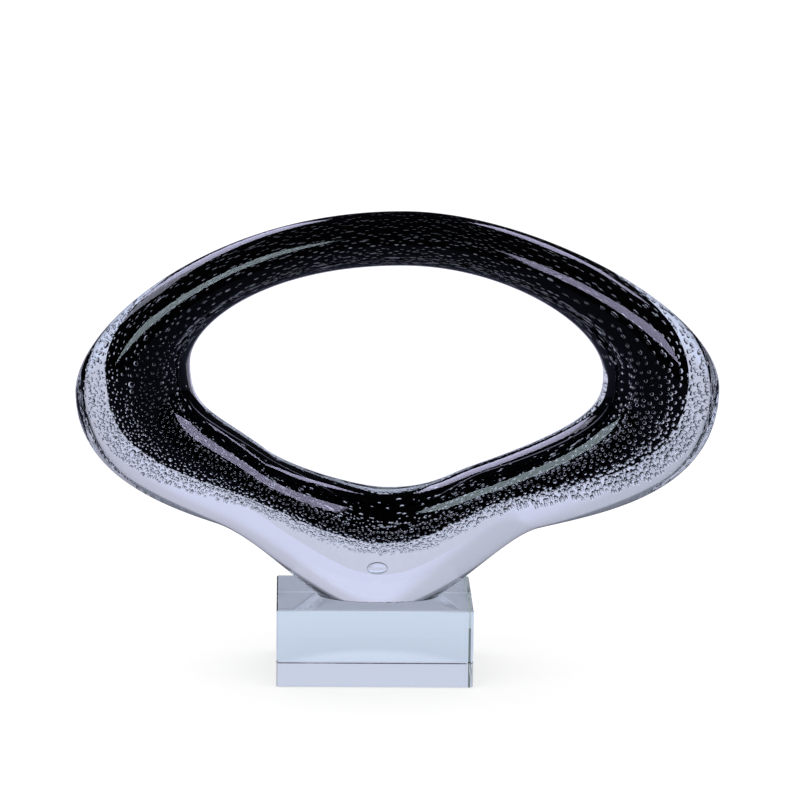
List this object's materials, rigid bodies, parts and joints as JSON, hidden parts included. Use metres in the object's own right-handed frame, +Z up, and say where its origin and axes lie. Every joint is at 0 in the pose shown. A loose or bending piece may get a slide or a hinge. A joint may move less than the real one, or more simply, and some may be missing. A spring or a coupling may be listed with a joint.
{
  "type": "glass ring sculpture",
  "caption": "Wide oval ring of cased art glass, clear over seeded glass and a black core, its ground foot bonded to a clear rectangular block.",
  "frame": {"origin": "middle of the block's underside, on the table", "axes": "+X to the right along the ring's width, +Y to the back along its depth, +Z up"},
  "size_m": [0.3276, 0.07, 0.2394],
  "materials": {
    "block_glass": "polished optical glass",
    "adhesive": "clear cured adhesive",
    "clear_glass": "fire-polished clear glass, faint lavender tint",
    "seeded_glass": "clear glass full of small round and drawn-out bubbles",
    "black_glass": "opaque black glass, seen through the clear layers"
  },
  "bodies": {
    "root": {"crystal_base": "block_glass", "glue_film": "adhesive", "clear_casing": "clear_glass", "bubble_layer": "seeded_glass", "black_core": "black_glass", "hole_lining": "clear_glass"}
  },
  "joints": []
}
